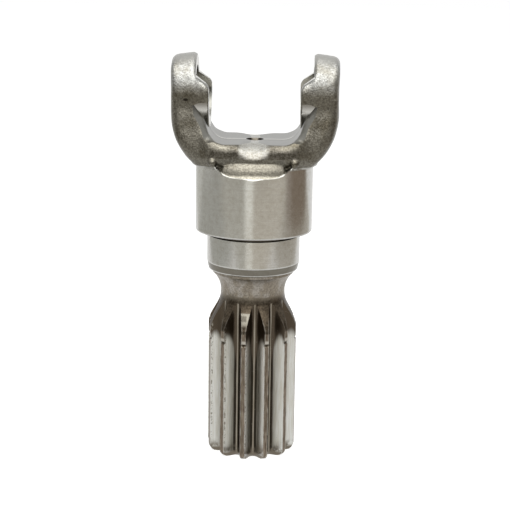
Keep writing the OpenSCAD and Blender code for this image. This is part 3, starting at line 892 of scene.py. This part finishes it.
# %% Columns of the shaft tool
GAP_SHARES = [0, 0.15, 0.3, 0.43, 0.53, 0.6, 0.74, 0.87, 1.0]      # places on a gap's wall
LAND_SHARES = [0.33, 0.67]                                         # places on a land
HALF = math.pi / TEETH
FOOT_DEPTH, FOOT_Z = 1.4, 1.5                                      # how the gaps flare at the end
tool_points, rings, free_rows = [], [], 0
for r, z, slot in path:
    toothed = 0 <= z < 76 and r <= TIP_R + 0.1 and r > 10
    if toothed and r > ROOT_R + 0.02:
        edge = edge_angle(r)
        free_rows = 0
    elif toothed and z > 5:
        free_rows += 1
        edge = math.radians(min(0.4 + 1.2 * free_rows, 8.7))
    else:
        edge = math.radians(12.17 if z < 5 else 8.7)
    half = [edge * s for s in GAP_SHARES] + [edge + (HALF - edge) * s for s in LAND_SHARES]
    local = [-a for a in half[:0:-1]] + half + [HALF]
    if r == 0:
        rings.append((len(tool_points), 1))
        tool_points.append((0, 0, z))
        continue
    rings.append((len(tool_points), TEETH * len(local)))
    for t in range(TEETH):
        for a in local:
            here = r
            if toothed:
                flared = FOOT_DEPTH * max(0.0, 1 - z / FOOT_Z) if abs(a) < math.radians(12) else 0
                here = min(r, gap_radius(abs(a)) - flared)
            turn_to = TOOTH_TURN - math.pi / 2 + t * 2 * HALF + a
            tool_points.append((here * math.cos(turn_to), here * math.sin(turn_to), z))
print("shaft tool:", len(tool_points), "points")

# %% Faces of the shaft tool, and the cut
per_tooth = 2 * (len(GAP_SHARES) - 1 + len(LAND_SHARES)) + 2
gap_columns = range(len(LAND_SHARES), len(LAND_SHARES) + 2 * (len(GAP_SHARES) - 1))
FLANK_TOP = 73.5                    # up to here the walls of the gaps count as hobbed
tool_faces, tool_slots = [], []
for (a, na), (b, nb), lower, upper in zip(rings, rings[1:], path, path[1:]):
    columns = max(na, nb)
    for i in range(columns):
        k = (i + 1) % columns
        quad = tuple(dict.fromkeys([a + i % na, a + k % na, b + k % nb, b + i % nb]))
        if len(quad) < 3:
            continue
        tool_faces.append(quad)
        beside_gap = i % per_tooth in gap_columns and upper[0] > ROOT_R and lower[0] > 12
        in_gap = beside_gap and 0 <= lower[1] and upper[1] < FLANK_TOP
        tool_slots.append(FLANK if in_gap else upper[2])
shaft_tool = solid("lathe_and_hob", tool_points, tool_faces, tool_slots)
yoke = cut(yoke, shaft_tool)
print("turned and hobbed:", len(yoke.data.polygons), "faces; columns per tooth", per_tooth)

# %% [markdown]
# ## Mill and boring bar
# The mill opens the gap between the arms, flares its front and back edges and leaves the
# bosses standing. A second pass faces the lugs above the slopes, and a bar bores the eyes.
# Each is one swept solid, as the real tool's path is one sweep.

# %% Path of the mill
corner = [(CORNER_X + CORNER_R * math.sin(a), FLOOR_Z + CORNER_R - CORNER_R * math.cos(a))
          for a in np.linspace(0, math.pi / 2 - LEAN, 14)]
last = corner[-1]
sides = [(last[0] + (z - last[1]) * math.tan(LEAN), z) for z in (154, 156, 158, 160, 162, 163.6)]
sides += [(sides[-1][0], 164.0), (FACE_BOSS, 164.0), (FACE_BOSS, 200)]
right = corner + sides
outline = [(6.0, FLOOR_Z)] + right + [(-x, z) for x, z in right[::-1]] + [(-6.0, FLOOR_Z)]
FLARE_Z = [0, 146.4, 148.8, 151.0, 153.0, 156.4, 160.0, 190]
FLARE_Y = [22, 21.0, 17.6, 16.8, 15.9, 14.7, 13.3, 13.3]


def flare(y, points):
    """How far the mill's path widens towards the front and back, with a faint ridge at y = 0."""
    start = np.interp(points[:, 1], FLARE_Z, FLARE_Y)
    amount = np.clip((abs(y) - start) * 0.9, 0, 9)
    amount = amount * np.interp(points[:, 1], [146.8, 149.6], [0, 1])
    amount = np.where(points[:, 1] > 163.8, 0, amount)
    return amount - (0.05 if abs(y) < 0.2 else 0)


print("the mill's outline has", len(outline), "points")

# %% Mill the gap
stations = [-40, -27, -24, -21.5, -20, -18.8, -17.8, -16.8, -15.8, -14.7, -13.3, -6, -0.4, 0,
            0.4, 6, 13.3, 14.7, 15.8, 16.8, 17.8, 18.8, 20, 21.5, 24, 27, 40]
gap_tool = prism("mill", outline, stations, MILLED, flare)
for side in (-1, 1):
    keep = lathe("boss", [(0, side * FACE_BOSS), (EYE_R - 0.9, side * FACE_BOSS),
                          (EYE_R - 0.5, side * (FACE_BOSS + 0.4)), (EYE_R - 0.5, side * 60),
                          (0, side * 60)], 128, FACED, "X")
    keep.data.transform(Matrix.Translation((0, 0, BORE_Z)))
    gap_tool = cut(gap_tool, keep)
yoke = cut(yoke, gap_tool)
print("gap milled:", len(yoke.data.polygons), "faces")

# %% Face the lugs, bore the eyes and drill the floor
STEP_Z = BORE_Z + 3.6
relief = [(0, STEP_Z), (FACE_BOSS, STEP_Z), (FACE_LUG, STEP_Z + 4.0), (FACE_LUG, 200), (0, 200)]
for side in (-1, 1):
    yoke = cut(yoke, prism("facing", [(side * x, z) for x, z in relief], [-40, 40], FACED))
bore = lathe("boring_bar", [(0, -60), (BORE_R, -60), (BORE_R, 60), (0, 60)], 128, MILLED, "X")
bore.data.transform(Matrix.Translation((0, 0, BORE_Z)))
yoke = cut(yoke, bore)
drill = lathe("centre_drill", [(0, FLOOR_Z + 2), (5.2, FLOOR_Z + 2), (1.6, FLOOR_Z - 3.8),
                               (1.6, FLOOR_Z - 6.8), (0, FLOOR_Z - 7.8)], 64, HOLE)
yoke = cut(yoke, drill)
print("bored:", len(yoke.data.polygons), "faces")

# %% [markdown]
# ### Finish the mesh
# The exact cuts leave a few doubled points and hair-thin slits where the bore grazes other
# faces. Points closer than two thousandths of a millimetre are merged and the slits filled.
# Edges sharper than 32 degrees stay crisp, and all others are shaded smooth.

# %% Finish the mesh
MERGE, CRISP = 0.000002, math.radians(32)       # metres and radians
yoke.data.transform(Matrix.Scale(MM, 4))
work = bmesh.new()
work.from_mesh(yoke.data)
bmesh.ops.remove_doubles(work, verts=work.verts, dist=MERGE)
patched = bmesh.ops.holes_fill(work, edges=[e for e in work.edges if e.is_boundary], sides=0)
for face in patched["faces"]:
    face.material_index = MILLED
bmesh.ops.recalc_face_normals(work, faces=work.faces)
open_edges = sum(1 for e in work.edges if not e.is_manifold)
work.to_mesh(yoke.data)
work.free()
for face in yoke.data.polygons:
    face.use_smooth = True
yoke.data.set_sharp_from_angle(angle=CRISP)
yoke.data.update()
triangles = sum(len(f.vertices) - 2 for f in yoke.data.polygons)
print("yoke:", triangles, "triangles, open edges", open_edges)

# %% The yoke takes the place of its CAD node
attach(yoke, "root")
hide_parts("forged_yoke")
print("the yoke rides on root")

# %% [markdown]
# ## Studio
# The part stands on a pale floor in white surroundings, under one large soft box. Bare steel
# mostly shows what surrounds it, so its light and dark bands are made as in a photo studio,
# with cards that only reflections see.

# %% Which rays see white
def seen_by(tree):
    """1 for camera rays, and 1 for glossy or transmitted rays."""
    rays = node(tree, "LightPath")
    shine = node(tree, "Math", {0: rays["Is Glossy Ray"], 1: rays["Is Transmission Ray"]},
                 operation="MAXIMUM")[0]
    return rays["Is Camera Ray"], shine


print("camera, glossy and transmitted rays are told apart")

# %% [markdown]
# ### Floor and surroundings
# A floor lit to pure white would throw too much light back on the part. So the camera sees a
# glowing white that still takes the part's shadow, reflections see plain white, and only the
# light that falls on the part comes from a real pale floor.

# %% Floor
ROOM = 4                            # half the side of the floor in metres
floor_mesh = bpy.data.meshes.new("floor")
floor_mesh.from_pydata([(-ROOM, -ROOM, 0), (ROOM, -ROOM, 0), (ROOM, ROOM, 0), (-ROOM, ROOM, 0)],
                       [], [(0, 1, 2, 3)])
floor = bpy.data.objects.new("floor", floor_mesh)
scene.collection.objects.link(floor)
paper = bpy.data.materials.new("white paper floor")
paper.use_nodes = True
tree = paper.node_tree
tree.nodes.clear()
by_camera, by_gloss = seen_by(tree)
matt = node(tree, "BsdfDiffuse", {"Color": "#C8C8C6"})[0]
glow = node(tree, "Emission", {"Color": "#FFFFFF", "Strength": 0.8})[0]
soft = node(tree, "BsdfDiffuse", {"Color": "#B3B3B1"})[0]
lit = node(tree, "AddShader", {0: glow, 1: soft})[0]
white = node(tree, "Emission", {"Color": "#FFFFFF", "Strength": 1.0})[0]
first = node(tree, "MixShader", {0: by_camera, 1: matt, 2: lit})[0]
both = node(tree, "MixShader", {0: by_gloss, 1: first, 2: white})[0]
node(tree, "OutputMaterial", {"Surface": both})
floor.data.materials.append(paper)
print("floor", 2 * ROOM, "m wide")

# %% World
world = bpy.data.worlds.new("studio")
scene.world = world
world.use_nodes = True
tree = world.node_tree
tree.nodes.clear()
by_camera, by_gloss = seen_by(tree)
seen = node(tree, "Math", {0: by_camera, 1: by_gloss}, operation="MAXIMUM")[0]
plain = node(tree, "Background", {"Color": "#FFFFFF", "Strength": 0.5})[0]
white = node(tree, "Background", {"Color": "#FFFFFF", "Strength": 1.0})[0]
both = node(tree, "MixShader", {0: seen, 1: plain, 2: white})[0]
node(tree, "OutputWorld", {"Surface": both})
print("world: white to the eye, half as bright on the part")

# %% [markdown]
# ### Lamp and cards
# The soft box overhead shapes the rounded skin. A narrow bright strip in front draws the light
# band down the journals, and a warm card at the right gives their brown side. Mats on the floor
# grade the greys of the flanks, and dark walls behind the camera keep the arms deep.

# %% Soft box
def soft_box(name, at, aim, size, radiance):
    """Adds a rectangular area lamp whose face shows the given brightness."""
    data = bpy.data.lights.new(name, "AREA")
    data.shape = "RECTANGLE"
    data.size, data.size_y = size
    data.energy = radiance * math.pi * size[0] * size[1]
    lamp = bpy.data.objects.new(name, data)
    scene.collection.objects.link(lamp)
    lamp.location = at
    lamp.rotation_euler = (Vector(at) - Vector(aim)).to_track_quat("Z", "Y").to_euler()
    lamp.visible_camera = False
    return lamp


lamp = soft_box("overhead box", (0.0, -0.36, 0.90), (0.0, -0.30, 0.15), (1.1, 0.9), 4.0)
print("soft box:", round(lamp.data.energy, 1), "W")

# %% Cards
def card(name, corners, colour, brightness):
    """Makes a card that only reflections show."""
    mesh = bpy.data.meshes.new(name)
    mesh.from_pydata(corners, [], [(0, 1, 2, 3)])
    board = bpy.data.objects.new(name, mesh)
    scene.collection.objects.link(board)
    board.visible_camera = board.visible_diffuse = board.visible_shadow = False
    sheet = bpy.data.materials.new(name)
    sheet.use_nodes = True
    sheet.node_tree.nodes.clear()
    shine = node(sheet.node_tree, "Emission", {"Color": colour, "Strength": brightness})[0]
    node(sheet.node_tree, "OutputMaterial", {"Surface": shine})
    mesh.materials.append(sheet)
    return board


def flat_card(name, x0, x1, y0, y1, colour, brightness=1.0, height=0.001):
    """Lays a card on the floor."""
    corners = [(x0, y0, height), (x1, y0, height), (x1, y1, height), (x0, y1, height)]
    return card(name, corners, colour, brightness)


def wall_card(name, start, end, z0, z1, colour, brightness=1.0):
    """Stands a card between two points on the floor."""
    (xa, ya), (xb, yb) = start, end
    return card(name, [(xa, ya, z0), (xb, yb, z0), (xb, yb, z1), (xa, ya, z1)], colour, brightness)


print("cards are hidden from the camera and from diffuse light")

# %% Bright strip and the cards round the part
STRIP_LEFT, STRIP_RIGHT = -0.117, -0.006        # metres
wall_card("front strip", (STRIP_LEFT, -0.42), (STRIP_RIGHT, -0.42), 0.02, 0.1, "#F8F8F2", 1.3)
flat_card("floor strip", STRIP_LEFT, STRIP_RIGHT, -0.43, -0.33, "#F8F8F2", 1.3, 0.003)
wall_card("warm card", (0.36, -0.17), (0.36, -0.09), 0.033, 0.13, "#ABA096")
wall_card("dark card", (0.36, -0.09), (0.36, 0.2), 0.033, 0.13, "#948678")
print("bright strip:", round((STRIP_RIGHT - STRIP_LEFT) / MM), "mm wide")

# %% Floor mats and far walls
flat_card("left rear mat", -0.9, -0.33, 0.35, 0.8, "#DEDED9")
flat_card("left mat", -0.9, -0.33, -0.3, 0.35, "#C4C4BE")
flat_card("right mat", 0.33, 0.9, -0.3, 0.42, "#C9C4BA")
flat_card("front left mat", -0.9, -0.117, -0.9, -0.3, "#D2D0C7")
flat_card("front right mat", -0.117, 0.9, -0.9, -0.3, "#E2DCD0")
wall_card("dark wall", (-0.8, -0.95), (0.8, -0.95), 0.0, 0.36, "#5C5244")
wall_card("front light", (-0.6, -0.95), (0.6, -0.95), 0.36, 0.95, "#FFFFFF", 2.2)
for side in (-1, 1):
    wall_card("dark side wall", (side * 1.0, -0.8), (side * 1.0, 0.0), 0.0, 0.4, "#5C5244")
print("studio ready")
